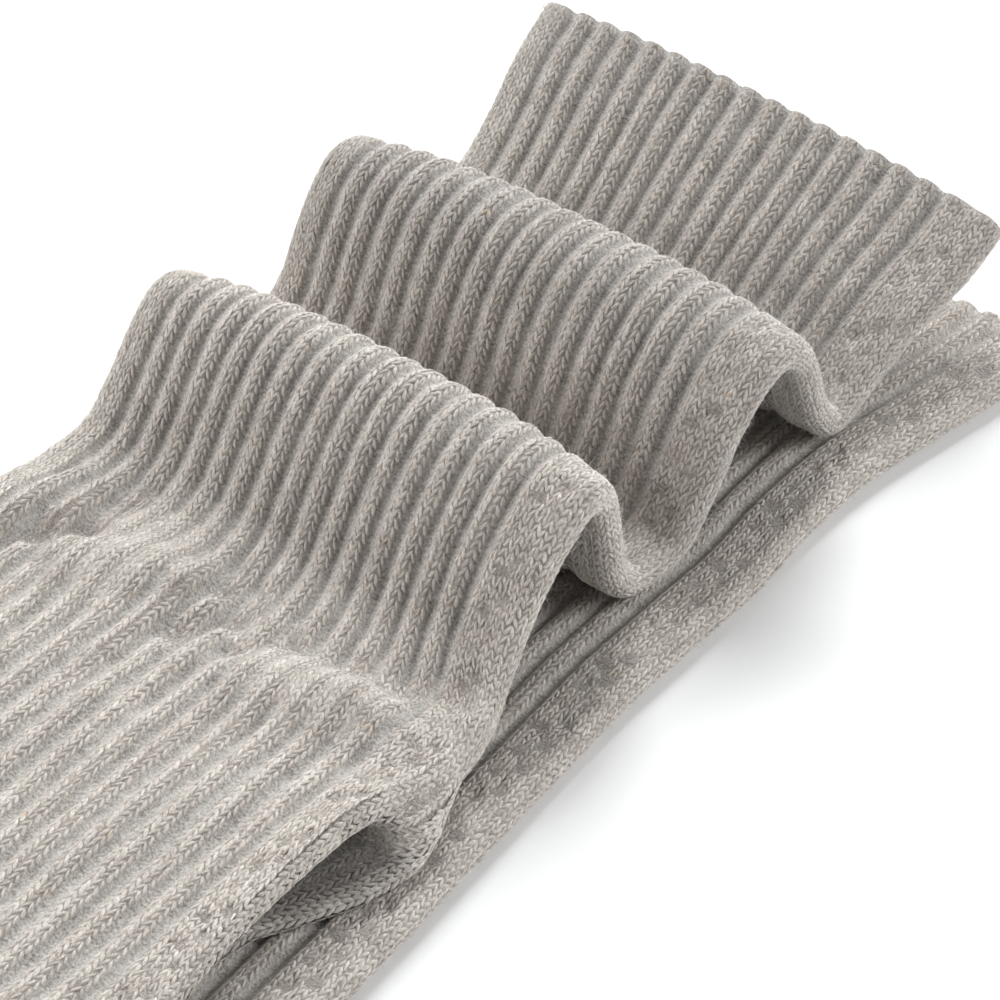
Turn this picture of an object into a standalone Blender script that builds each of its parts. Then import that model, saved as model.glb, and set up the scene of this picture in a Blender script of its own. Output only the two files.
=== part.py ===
"""A pair of ribbed toe socks lying on a table, one on the other.

The lower sock lies straight and flat. The upper sock lies on it, and its leg is pushed into two waves.
X runs across the socks, Y along them towards the cuffs, and Z is up. Sizes are in millimetres until
they are put into a mesh.
"""

from collections import namedtuple

import bpy
import numpy as np

MM = 0.001

WALL = 1.3  # plain knit cloth
HOLLOW = 1.0  # left between the two layers of a flattened sock
RIB_RISE = 0.8  # how far a rib stands above the plain cloth
SEAM = 0.3  # gap between pieces that meet
BASE = HOLLOW / 2 + WALL  # from the middle of a flattened tube to its plain outer face

GROOVES = 16  # between the ribs of each face
RIGHT_BAND = 5.2  # plain raised cloth beside the right folded edge
LEFT_BAND = 1.8  # and beside the left one
FOLD_STEPS = 6  # facets round a folded edge
INNER_EVERY = 4  # the plain inside has one point for this many outer points

TABLE_GAP = BASE  # the lower sock's middle, above the table
LOWER_TOP = BASE + BASE + RIB_RISE  # the top of the lower sock's ribs
REST_RIBBED = LOWER_TOP + SEAM + BASE + RIB_RISE  # the upper sock's middle where its ribs rest on the lower
REST_PLAIN = LOWER_TOP + SEAM + BASE  # and where its plain sole does

ORIGIN = (10.5, -122.0)  # the centre of the pair's box, in the tables' X and Y

# The path of a flattened sock's middle from the toe line to the cuff. Each row is a place on the
# left and the right folded edge, with how far along it is and how high. Then come the half width,
# the middle across, how far the whole tube bows up in its middle, how far the upper layer stands
# off the lower one there, and how many rings follow before the next row.
PathRow = namedtuple(
    "PathRow",
    "left_along left_height right_along right_height half_width middle bow puff rings",
)
UPPER_PATH = (
    # foot
    (-242.0, REST_PLAIN, -262.0, REST_PLAIN, 41.0, 1.0, 0.0, 0.3, 1),
    (-200.0, REST_PLAIN, -206.0, REST_PLAIN, 43.0, 1.5, 0.0, 1.0, 2),
    (-150.0, REST_PLAIN, -150.0, REST_PLAIN, 41.0, 2.0, 0.0, 1.4, 1),
    # heel and ankle
    (-112.0, 8.0, -112.0, 7.2, 43.0, 3.0, 0.2, 2.0, 2),
    (-92.0, 9.8, -92.0, 8.0, 43.2, 3.0, 0.3, 2.2, 2),
    (-70.0, 11.6, -70.0, 8.2, 43.0, 3.0, 0.4, 2.2, 4),
    (-46.0, 12.6, -48.0, 8.0, 42.7, 3.0, 0.3, 1.8, 2),
    (-35.0, 11.4, -37.5, 8.8, 41.8, 2.0, 0.2, 1.0, 2),
    (-25.0, 11.8, -30.0, 12.4, 40.7, 0.6, 0.2, 0.6, 2),
    # first wave
    (-18.5, 16.8, -22.5, 19.9, 40.3, 0.0, 0.4, 1.2, 2),
    (-13.3, 23.0, -16.0, 25.8, 40.3, 0.0, 0.7, 1.8, 2),
    (-8.7, 26.7, -10.6, 28.6, 40.3, 0.0, 1.0, 2.2, 2),
    (-5.0, 25.6, -7.0, 27.0, 40.3, 0.0, 1.0, 2.2, 1),
    (-3.2, 21.4, -5.6, 22.4, 40.3, 0.0, 0.6, 1.4, 2),
    (-2.0, 13.4, -4.2, 13.6, 40.3, 0.0, 0.2, 0.6, 1),
    (0.2, 9.0, -2.2, 9.4, 40.3, 0.0, 0.0, 0.3, 1),
    (4.6, REST_RIBBED, 2.0, REST_RIBBED, 40.3, 0.0, 0.0, 0.3, 2),
    # second wave
    (12.6, 8.0, 9.4, 8.8, 40.9, 0.4, 0.1, 0.4, 2),
    (19.6, 12.4, 15.8, 15.8, 41.2, 0.5, 0.3, 1.0, 2),
    (25.0, 20.4, 20.6, 22.6, 41.5, 0.5, 0.6, 1.6, 2),
    (30.4, 26.6, 27.0, 27.6, 41.6, 0.5, 0.9, 2.2, 2),
    (35.2, 27.2, 33.2, 28.6, 41.6, 0.5, 1.0, 2.2, 1),
    (38.8, 22.8, 37.4, 25.0, 41.6, 0.5, 0.8, 1.8, 1),
    (41.2, 16.8, 39.8, 19.6, 41.4, 0.5, 0.4, 1.0, 1),
    (44.2, 10.8, 43.0, 12.2, 41.0, 0.6, 0.1, 0.4, 1),
    (49.6, REST_RIBBED, 48.4, REST_RIBBED, 40.4, 0.8, 0.0, 0.3, 2),
    # cuff
    (59.0, 10.2, 58.2, 9.8, 39.9, 0.8, 0.2, 0.8, 2),
    (69.5, 15.4, 68.4, 14.0, 40.8, 0.4, 0.6, 1.6, 2),
    (79.0, 20.4, 78.2, 17.4, 42.4, -0.1, 0.9, 2.2, 2),
    (88.0, 24.2, 86.4, 20.8, 43.0, -0.6, 1.2, 2.6, 0),
)
LOWER_PATH = (
    # foot
    (-300.0, TABLE_GAP, -280.0, TABLE_GAP, 41.0, 24.0, 0.0, 0.0, 1),
    (-244.0, TABLE_GAP, -238.0, TABLE_GAP, 43.0, 22.0, 0.0, 0.0, 2),
    (-188.0, TABLE_GAP, -188.0, TABLE_GAP, 41.0, 20.0, 0.0, 0.0, 2),
    (-140.0, TABLE_GAP, -140.0, TABLE_GAP, 43.0, 17.0, 0.0, 0.0, 1),
    # ankle and leg
    (-77.0, TABLE_GAP, -77.0, TABLE_GAP, 41.6, 13.9, 0.0, 0.0, 1),
    (-56.0, TABLE_GAP, -56.0, TABLE_GAP, 41.0, 12.6, 0.0, 0.0, 1),
    (-36.0, TABLE_GAP, -36.0, TABLE_GAP, 40.5, 11.3, 0.0, 0.0, 1),
    (-25.0, TABLE_GAP, -25.0, TABLE_GAP, 40.4, 10.5, 0.0, 0.0, 1),
    (-14.0, TABLE_GAP, -14.0, TABLE_GAP, 40.3, 9.7, 0.0, 0.0, 1),
    (2.0, TABLE_GAP, 2.0, TABLE_GAP, 40.5, 9.3, 0.0, 0.0, 1),
    (16.0, TABLE_GAP, 16.0, TABLE_GAP, 40.6, 9.1, 0.0, 0.0, 1),
    (30.0, TABLE_GAP, 30.0, TABLE_GAP, 40.2, 8.0, 0.0, 0.0, 1),
    (46.0, TABLE_GAP, 46.0, TABLE_GAP, 40.2, 7.8, 0.0, 0.0, 1),
    (62.0, TABLE_GAP, 62.0, TABLE_GAP, 41.0, 9.2, 0.0, 0.0, 1),
    (76.0, TABLE_GAP, 76.0, TABLE_GAP, 41.6, 10.7, 0.0, 0.0, 1),
    (88.0, TABLE_GAP, 88.0, TABLE_GAP, 41.8, 11.4, 0.0, 0.0, 0),
)

# The pleat at the right folded edge beside the upper sock's heel: how far along, and how far its
# upper rim, its lower lip and the groove between them move out, and how far the two stand apart.
PleatRow = namedtuple("PleatRow", "along rim lip groove apart")
HEEL_PLEAT = (
    (-98.0, 0.0, 0.0, 0.0, 0.0),
    (-90.0, -1.0, -3.6, -4.0, 0.3),
    (-84.0, -1.8, -3.2, -6.6, 0.5),
    (-77.0, -2.6, 0.6, -7.8, 0.8),
    (-70.0, -3.6, 4.4, -7.8, 1.0),
    (-62.0, -4.6, 5.8, -6.0, 1.0),
    (-56.0, -3.2, 5.0, -3.0, 0.7),
    (-51.0, -1.0, 2.2, -0.8, 0.3),
    (-46.0, 0.0, 0.0, 0.0, 0.0),
)
PLEAT_REACH = 12.0  # how far in from the edge the pleat moves the cloth

# The toes across the toe line from the big toe: their share of its width, and their length.
Toe = namedtuple("Toe", "share length")
TOES = (
    Toe(0.28, 35.0),
    Toe(0.19, 33.0),
    Toe(0.18, 30.0),
    Toe(0.175, 26.0),
    Toe(0.175, 22.0),
)
TOE_GAP = 1.2  # between two toes at their roots
TOE_SPLAY = 0.06  # sideways lean of the outermost toes, for each millimetre of length
TOE_STATIONS = (0.0, 0.35, 0.62, 0.80, 0.92, 0.985)  # of a toe's length, from its root
TOE_SIDES = 16
TOE_INNER_EVERY = 2
TOE_ROUND_FROM = 0.45  # share of a toe's length where its tip starts to round off
TOE_ROUND_POWER = 2.2
TOE_TIP = 0.03  # of the toe's width, left at its very tip
TOE_TIP_HEIGHT = 0.55  # of the toe's thickness, left at its very tip
TOE_CORNER_ACROSS = 0.55  # powers under 1 flatten the toe's round section
TOE_CORNER_UP = 0.75

CROWN_POWER = 3  # the bow and the puff fade towards the folded edges with this power
LOOK_AHEAD = 0.02  # rows between a place and the two that give its slope

YARN_COLOUR = (0.50, 0.475, 0.445, 1.0)
YARN_ROUGHNESS = 0.95


def smooth_row(rows, place):
    """The row at a fractional place between rows, on a smooth curve through them all."""
    last = len(rows) - 1
    step = min(int(place), last - 1)
    share = place - step
    before, start = rows[max(step - 1, 0)], rows[step]
    end, after = rows[step + 1], rows[min(step + 2, last)]
    start_pull = (end - before) / 2 if step > 0 else end - start
    end_pull = (after - start) / 2 if step < last - 1 else end - start
    square, cube = share**2, share**3
    return (
        (2 * cube - 3 * square + 1) * start
        + (cube - 2 * square + share) * start_pull
        + (3 * square - 2 * cube) * end
        + (cube - square) * end_pull
    )


def path_places(path):
    """The places of the rings along a path, in rows."""
    places = []
    for row, values in enumerate(path):
        rings = values[-1]
        places += [row + ring / rings for ring in range(rings)]
    return places + [len(path) - 1]


def section(half_width):
    """Points round a flattened tube, from under its right fold: across, up, out across, out up, rise."""
    flat = half_width - BASE
    first, last = flat - RIGHT_BAND, LEFT_BAND - flat
    points = []
    for side in (1, -1):
        for step in range(FOLD_STEPS + 1):
            turn = np.pi * (step / FOLD_STEPS - 0.5)
            out_x, out_z = side * np.cos(turn), side * np.sin(turn)
            points.append((side * flat + BASE * out_x, BASE * out_z, out_x, out_z, 1.0))
        steps = range(2 * GROOVES + 1)
        for step in steps if side > 0 else reversed(steps):
            across = first + (last - first) * step / (2 * GROOVES)
            points.append((across, side * BASE, 0.0, side, 1 - step % 2))
    return np.array(points)


def pleat_shift(along, across, up, half_width):
    """How far the heel's pleat moves a point of the section out and up."""
    table = PleatRow(*np.array(HEEL_PLEAT).T)
    rim, lip, groove, apart = (np.interp(along, table.along, column) for column in table[1:])
    near = np.clip((across - half_width + PLEAT_REACH) / PLEAT_REACH, 0, 1) ** 2
    level = np.clip(up / BASE, -1, 1)
    edge = np.where(level > 0, rim, lip)
    out = near * (edge * np.abs(level) + groove * (1 - np.abs(level)) ** 2)
    return out, near * apart * level


def place_section(rows, place, across, up, pleated):
    """World points of a section's points at a place on a path. Up is square to the path."""
    last = len(rows) - 1
    here = PathRow(*smooth_row(rows, place))
    change = smooth_row(rows, min(place + LOOK_AHEAD, last)) - smooth_row(rows, max(place - LOOK_AHEAD, 0))
    change = PathRow(*change)
    share = (across / here.half_width + 1) / 2
    along = here.left_along + (here.right_along - here.left_along) * share
    height = here.left_height + (here.right_height - here.left_height) * share
    run = change.left_along + (change.right_along - change.left_along) * share
    climb = change.left_height + (change.right_height - change.left_height) * share
    length = np.hypot(run, climb)
    inward = 1 - np.clip(np.abs(across) / here.half_width, 0, 1) ** CROWN_POWER
    lifted = up + inward * (here.bow + here.puff * (up > 0))
    if pleated:
        out, apart = pleat_shift(along, across, up, here.half_width)
        across, lifted = across + out, lifted + apart
    back, rise = lifted * climb / length, lifted * run / length
    return np.column_stack([here.middle + across, along - back, height + rise])


def tube_rings(path, rise_under, sole_until, pleated):
    """The outer and inner rings of a tube. Its underside's ribs stand by rise_under beyond sole_until."""
    rows = np.array(path)
    outer, inner = [], []
    for place in path_places(path):
        here = PathRow(*smooth_row(rows, place))
        across, up, out_across, out_up, rise = section(here.half_width).T
        under = rise_under if here.left_along > sole_until else 0.0
        share_up = (1 + out_up) / 2
        rise = RIB_RISE * rise * (under + (1 - under) * share_up)
        outside = place_section(rows, place, across + rise * out_across, up + rise * out_up, pleated)
        inside = place_section(rows, place, across - WALL * out_across, up - WALL * out_up, pleated)
        outer.append(outside)
        inner.append(inside[::INNER_EVERY])
    return outer, inner


def toe_rings(line, root, tip_shift, width, length):
    """The outer and inner rings of one toe, from its root on the toe line to its rounded tip."""
    turns = 2 * np.pi * (np.arange(TOE_SIDES) + 0.5) / TOE_SIDES
    cosine, sine = np.cos(turns), np.sin(turns)
    corner_across = np.sign(cosine) * np.abs(cosine) ** TOE_CORNER_ACROSS
    corner_up = np.sign(sine) * np.abs(sine) ** TOE_CORNER_UP
    outer, inner = [], []
    for station in TOE_STATIONS:
        rounded = max(station - TOE_ROUND_FROM, 0) / (1 - TOE_ROUND_FROM)
        full = (1 - rounded**TOE_ROUND_POWER) ** 0.5
        half_width = width / 2 * (full + (1 - full) * TOE_TIP)
        half_height = full + (1 - full) * TOE_TIP_HEIGHT
        for rings, inset in ((outer, 0.0), (inner, WALL)):
            across = root + tip_shift * station + (half_width - inset) * corner_across
            up = (BASE - inset) * half_height * corner_up
            share = ((across - line.middle) / line.half_width + 1) / 2
            start = line.left_along + (line.right_along - line.left_along) * share - SEAM
            along = start - (length - inset) * station
            rings.append(np.column_stack([across, along, line.left_height + up]))
    return outer, [ring[::TOE_INNER_EVERY] for ring in inner]


def add_faces(rings, first, inwards):
    """Quads between rings of equal count, whose points are numbered from first."""
    faces = []
    count = len(rings[0])
    for ring in range(len(rings) - 1):
        for point in range(count):
            after = (point + 1) % count
            low, high = first + ring * count, first + (ring + 1) * count
            face = (low + point, high + point, high + after, low + after)
            faces.append(face[::-1] if inwards else face)
    return faces


def add_rim(outer_first, outer_count, inner_first, every, turned):
    """Faces between an outer ring and the inner ring inside it, which has fewer points."""
    faces = []
    inner_count = outer_count // every
    for point in range(inner_count):
        inner, inner_after = inner_first + point, inner_first + (point + 1) % inner_count
        fan = [outer_first + (point * every + step) % outer_count for step in range(every + 1)]
        made = [(inner, fan[step], fan[step + 1]) for step in range(every)]
        made.append((inner, fan[-1], inner_after))
        faces += [face[::-1] if turned else face for face in made]
    return faces


def add_wall(name, outer, inner, every, closed_start=False):
    """A closed wall from outer and inner rings. Its last end is open, and so is its first unless closed."""
    points = np.concatenate(outer + inner)
    outer_count, inner_count = len(outer[0]), len(inner[0])
    inner_first = len(outer) * outer_count
    faces = add_faces(outer, 0, False) + add_faces(inner, inner_first, True)
    if closed_start:
        faces.append(tuple(range(outer_count)))
        faces.append(tuple(range(inner_first, inner_first + inner_count))[::-1])
    else:
        faces += add_rim(0, outer_count, inner_first, every, False)
    last_outer = (len(outer) - 1) * outer_count
    last_inner = inner_first + (len(inner) - 1) * inner_count
    faces += add_rim(last_outer, outer_count, last_inner, every, True)
    mesh = bpy.data.meshes.new(name)
    centred = (points - np.array([*ORIGIN, 0.0])) * MM
    mesh.from_pydata(centred.tolist(), [], faces)
    mesh.shade_smooth()
    sock = bpy.data.objects.new(name, mesh)
    material = bpy.data.materials.new(name + "_knit")
    material.use_nodes = True
    surface = material.node_tree.nodes["Principled BSDF"]
    surface.inputs["Base Color"].default_value = YARN_COLOUR
    surface.inputs["Roughness"].default_value = YARN_ROUGHNESS
    surface.inputs["Metallic"].default_value = 0.0
    mesh.materials.append(material)
    return sock


def make_sock(collection, name, path, big_toe_side, rise_under, sole_until, pleated):
    """One sock: its tube and five toes. The big toe is on the +X side if big_toe_side is 1."""
    outer, inner = tube_rings(path, rise_under, sole_until, pleated)
    collection.objects.link(add_wall(name + "_sock", outer, inner, INNER_EVERY))
    line = PathRow(*path[0])
    toe_line = 2 * line.half_width - TOE_GAP
    used = 0.0
    for number, (share, length) in enumerate(TOES, 1):
        width = share * toe_line - TOE_GAP
        centre = toe_line / 2 - (used + share / 2) * toe_line
        used += share
        lean = TOE_SPLAY * length * centre / line.half_width
        root = line.middle + big_toe_side * centre
        outer, inner = toe_rings(line, root, big_toe_side * lean, width, length)
        outer.reverse()
        inner.reverse()
        toe = add_wall(f"{name}_toe_{number}", outer, inner, TOE_INNER_EVERY, closed_start=True)
        collection.objects.link(toe)


def main():
    for existing in list(bpy.data.objects):
        bpy.data.objects.remove(existing, do_unlink=True)
    collection = bpy.data.collections.new("pair_of_toe_socks")
    bpy.context.scene.collection.children.link(collection)
    make_sock(collection, "upper", UPPER_PATH, 1, rise_under=1.0, sole_until=-52.0, pleated=True)
    make_sock(collection, "lower", LOWER_PATH, -1, rise_under=0.0, sole_until=0.0, pleated=False)


main()
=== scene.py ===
import math

import bpy
import numpy as np
from mathutils import Matrix, Vector


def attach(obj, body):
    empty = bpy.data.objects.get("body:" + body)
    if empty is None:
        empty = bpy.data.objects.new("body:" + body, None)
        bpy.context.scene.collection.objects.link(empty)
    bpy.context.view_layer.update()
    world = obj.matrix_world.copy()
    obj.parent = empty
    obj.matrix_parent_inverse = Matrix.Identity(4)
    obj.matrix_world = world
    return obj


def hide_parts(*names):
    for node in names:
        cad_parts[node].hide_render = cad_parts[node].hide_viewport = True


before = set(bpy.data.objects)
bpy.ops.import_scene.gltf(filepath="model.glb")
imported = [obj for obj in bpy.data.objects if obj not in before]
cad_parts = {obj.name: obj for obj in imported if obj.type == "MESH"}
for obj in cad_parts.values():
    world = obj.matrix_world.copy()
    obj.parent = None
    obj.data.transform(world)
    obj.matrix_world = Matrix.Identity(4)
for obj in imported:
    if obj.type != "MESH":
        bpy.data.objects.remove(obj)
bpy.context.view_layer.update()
bpy.ops.object.select_all(action="DESELECT")
print("stage: frame loaded")

mm = 0.001
# the frame's origin in the tables' across, along and height, in mm
tableOrigin = np.array([10.5, -122.0, 0.0])

knit = {
    "base": 1.8,  # from the middle of a flattened tube to its plain face, mm
    "thickness": 1.2,
    "ribRise": 0.60,  # the ground under a rib's stitches stands this far above the plain face
    "valley": -0.40,  # and the ground between two ribs this far
    "shoulder": 0.58,  # share of that height left where a rib's side turns down
    "crown": 0.30,  # half width of a rib's crown, as a share of the space from rib to rib
    "side": 0.13,  # width of its side, as such a share
    "flatRise": 0.40,  # the ground stands this far up where the ribs are pulled quite flat
    "ribs": 16,  # spaces from rib to rib on each face
    "rightBand": 5.2,  # plain cloth beside the right fold
    "leftBand": 1.8,
    "wale": 1.34,  # width of one column of stitches where the cloth is plain
    "ribWale": 0.76,  # a rib's two columns stand this far either side of its middle
    "course": 1.36,  # length of one row of stitches
    "refHalf": 40.5,  # half width that the columns are laid out on
    "arch": 3,  # power that a tube's bow and puff fall away with towards its folds
}

dents = {  # small dents down the plain band beside the right fold
    "spacing": 5.3,
    "reach": 1.15,
    "depth": -0.85,
    "lines": ((1.5, 0.0), (3.7, 0.5)),  # mm in from the fold, and how far out of step
    "size": (0.6, 0.4, 2.3),  # share of the depth, how far it swings, and its radians a dent
}

restRibbed = 7.3  # height of the top sock's middle where its ribs rest on the lower sock
restPlain = 6.5  # and where its plain sole does
# rows along a sock: left along, left height, right along, right height, half width, middle,
# bow of the whole tube, puff of the top layer
upperRows = [
    (-242.0, restPlain, -262.0, restPlain, 41.0, 1.0, 0.0, 0.3),
    (-200.0, restPlain, -206.0, restPlain, 43.0, 1.5, 0.0, 1.0),
    (-150.0, restPlain, -150.0, restPlain, 41.0, 2.0, 0.0, 1.4),
    (-112.0, 8.0, -112.0, 7.2, 43.0, 3.0, 0.2, 2.0),
    (-92.0, 9.8, -92.0, 8.0, 43.2, 3.0, 0.3, 2.2),
    (-70.0, 11.6, -70.0, 8.2, 43.0, 3.0, 0.4, 2.2),
    (-46.0, 12.6, -48.0, 8.0, 42.7, 3.0, 0.3, 1.8),
    (-35.0, 11.4, -37.5, 8.8, 41.8, 2.0, 0.2, 1.0),
    (-25.0, 11.8, -30.0, 12.4, 40.7, 0.6, 0.2, 0.6),
    (-18.5, 16.8, -22.5, 19.9, 40.3, 0.0, 0.4, 1.2),
    (-13.3, 23.0, -16.0, 25.8, 40.3, 0.0, 0.7, 1.8),
    (-8.7, 26.7, -10.6, 28.6, 40.3, 0.0, 1.0, 2.2),
    (-5.0, 25.6, -7.0, 27.0, 40.3, 0.0, 1.0, 2.2),
    (-3.2, 21.4, -5.6, 22.4, 40.3, 0.0, 0.6, 1.4),
    (-2.0, 13.4, -4.2, 13.6, 40.3, 0.0, 0.2, 0.6),
    (0.2, 9.0, -2.2, 9.4, 40.3, 0.0, 0.0, 0.3),
    (4.6, restRibbed, 2.0, restRibbed, 40.3, 0.0, 0.0, 0.3),
    (12.6, 8.0, 9.4, 8.8, 40.9, 0.4, 0.1, 0.4),
    (19.6, 12.4, 15.8, 15.8, 41.2, 0.5, 0.3, 1.0),
    (25.0, 20.4, 20.6, 22.6, 41.5, 0.5, 0.6, 1.6),
    (30.4, 26.6, 27.0, 27.6, 41.6, 0.5, 0.9, 2.2),
    (35.2, 27.2, 33.2, 28.6, 41.6, 0.5, 1.0, 2.2),
    (38.8, 22.8, 37.4, 25.0, 41.6, 0.5, 0.8, 1.8),
    (41.2, 16.8, 39.8, 19.6, 41.4, 0.5, 0.4, 1.0),
    (44.2, 10.8, 43.0, 12.2, 41.0, 0.6, 0.1, 0.4),
    (49.6, restRibbed, 48.4, restRibbed, 40.4, 0.8, 0.0, 0.3),
    (59.0, 10.2, 58.2, 9.8, 39.9, 0.8, 0.2, 0.8),
    (69.5, 15.4, 68.4, 14.0, 40.8, 0.4, 0.6, 1.6),
    (79.0, 20.4, 78.2, 17.4, 42.4, -0.1, 0.9, 2.2),
    (88.0, 24.2, 86.4, 20.8, 43.0, -0.6, 1.2, 2.6),
]
lowerLay = [  # left along, right along, half width, middle
    (-300.0, -280.0, 41.0, 24.0),
    (-244.0, -238.0, 43.0, 22.0),
    (-188.0, -188.0, 41.0, 20.0),
    (-140.0, -140.0, 43.0, 17.0),
    (-77.0, -77.0, 41.6, 13.9),
    (-56.0, -56.0, 41.0, 12.6),
    (-36.0, -36.0, 40.5, 11.3),
    (-25.0, -25.0, 40.4, 10.5),
    (-14.0, -14.0, 40.3, 9.7),
    (2.0, 2.0, 40.5, 9.3),
    (16.0, 16.0, 40.6, 9.1),
    (30.0, 30.0, 40.2, 8.0),
    (46.0, 46.0, 40.2, 7.8),
    (62.0, 62.0, 41.0, 9.2),
    (76.0, 76.0, 41.6, 10.7),
    (88.0, 88.0, 41.8, 11.4),
]
flat = knit["base"]
lowerRows = [(left, flat, right, flat, half, middle, 0.0, 0.0) for left, right, half, middle in lowerLay]

foot = {  # how the top sock changes towards its foot: places along, and shares there
    "paintedLight": ((-60.0, -42.0, 2.0, 14.0), (1.05, 1.0, 1.0, 0.86)),  # painted light: the yarn drawn brighter towards the foot and darker towards the cuff
    "spread": ((-70.0, -44.0), (0.34, 0.0)),  # how flat the ribs are
}

heelPleat = {  # levels run from -1 underneath to 1 on top
    "reach": 15.0,  # how far in from the fold it moves the cloth
    "fade": 1.7,  # power that its pull falls away with
    "level": 0.1,  # of the groove
    "roof": 0.6,  # levels from the groove up to the rim
    "floor": 0.85,  # and down to the lip
    "shade": 0.7,  # painted shade: how much darker the yarn is drawn deep in it
    "shadeDepth": 9.0,  # a groove of this depth has the full painted shade
    "shadeLow": (-0.85, 0.5),  # the painted shade starts at this level and is full so many levels higher
    "shadeHigh": (0.65, 0.3),  # it ends at this level and is full so many levels lower
    "turned": (-112.0, -44.0),  # where stitches stand square to the folded cloth, along
    "stiff": (-102.0, -45.0),  # where plain ones keep their shape as well
    "thin": 0.35,  # the cloth is this much thinner for each mm that the lip drops
    # along, how far rim, lip and groove move out, how far the rim lifts and the lip drops
    "rows": [
        (-112.0, -0.8, -0.8, -0.8, 0.0, 0.0),
        (-98.0, -1.6, -3.0, -5.0, 0.6, 0.2),
        (-91.0, -2.0, -4.4, -9.0, 1.5, 0.6),
        (-84.0, -2.1, -3.4, -12.5, 2.6, 1.1),
        (-77.0, -2.0, 0.6, -14.0, 3.5, 1.5),
        (-70.0, -1.8, 4.2, -14.0, 4.2, 1.8),
        (-66.0, -1.6, 5.3, -13.8, 4.4, 1.8),
        (-64.0, -1.4, 5.5, -11.5, 4.3, 1.8),
        (-62.0, -1.2, 5.5, -5.5, 4.1, 1.8),
        (-60.0, -0.9, 5.2, 0.8, 3.8, 1.7),
        (-58.0, -0.6, 4.7, 2.6, 3.2, 1.4),
        (-55.5, -0.4, 3.9, 2.8, 2.3, 1.1),
        (-52.0, -0.2, 2.3, 2.0, 1.1, 0.6),
        (-49.0, 0.0, 1.0, 1.0, 0.4, 0.2),
        (-46.0, 0.0, 0.0, 0.0, 0.0, 0.0),
    ],
}

# soft troughs and ridges in the top layer: across and along at each end, half width, height
upperCreases = [
    (-22.4, -32.0, -22.8, -43.0, 2.3, -1.8),
    (-22.8, -43.0, -27.0, -49.5, 2.3, -1.9),
    (-27.0, -49.5, -31.5, -60.0, 2.5, -1.2),
    (-20.6, -46.0, -22.0, -53.0, 2.1, -1.3),
    (-22.0, -53.0, -23.6, -66.0, 2.3, -1.0),
    (0.2, -36.0, 0.9, -41.5, 2.1, -1.0),
    (0.9, -41.5, -2.2, -48.5, 2.1, -1.1),
    (4.6, -38.0, 5.8, -45.0, 2.2, -1.3),
    (5.8, -45.0, 1.2, -52.5, 2.4, -1.6),
    (1.2, -52.5, -3.0, -68.0, 2.5, -1.0),
    (15.0, -43.5, 10.0, -51.0, 2.2, -1.3),
    (10.0, -51.0, 7.8, -66.0, 2.4, -0.8),
    (15.0, -42.5, 31.0, -41.5, 3.0, -1.3),
    (32.5, -38.0, 39.0, -35.5, 3.4, -1.5),
    (-17.5, -50.5, -7.5, -45.5, 5.2, 2.4),
    (-30.5, -37.0, -31.0, -49.0, 3.2, 1.4),
    (17.0, -53.5, 30.0, -49.0, 6.0, 2.3),
    (30.0, -49.0, 39.0, -49.0, 5.5, 1.5),
    (-34.0, -44.0, -35.5, -60.0, 3.6, 1.0),
    (43.5, -38.5, 44.5, -34.0, 3.0, 0.9),
    (30.0, -64.0, 18.0, -92.0, 5.0, 0.7),
    (-30.0, -80.0, -22.0, -108.0, 5.0, -0.7),
    (6.0, -84.0, 0.0, -112.0, 5.0, -0.7),
    (-8.0, -130.0, 10.0, -160.0, 7.0, -0.6),
    (-20.0, -180.0, -4.0, -215.0, 7.0, 0.7),
    (14.0, -190.0, 22.0, -225.0, 7.0, -0.6),
]
creaseFade = 0.5  # mm above the tube's middle where the creases have their full height
# where the ribs are pulled flat: across, along, reach
upperFlats = [
    (-14.0, -42.0, 9.0),
    (-12.0, -52.0, 5.0),
    (20.0, -50.0, 7.0),
    (30.0, -48.0, 8.0),
    (12.0, -45.0, 5.0),
    (37.0, -42.0, 6.0),
]
flatPull = 1.25  # above 1, so the middle of such a spot is quite flat

probes = {  # steps for measuring directions and lengths
    "normal": 0.02,  # places, as are the next two
    "slope": 0.03,
    "stitch": 0.01,
    "ring": 0.01,  # ring codes
    "round": 0.1,  # mm round the ring
    "rise": 0.5,  # mm out
}


def unit(vectors):
    return vectors / np.linalg.norm(vectors, axis=1)[:, None]


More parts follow.
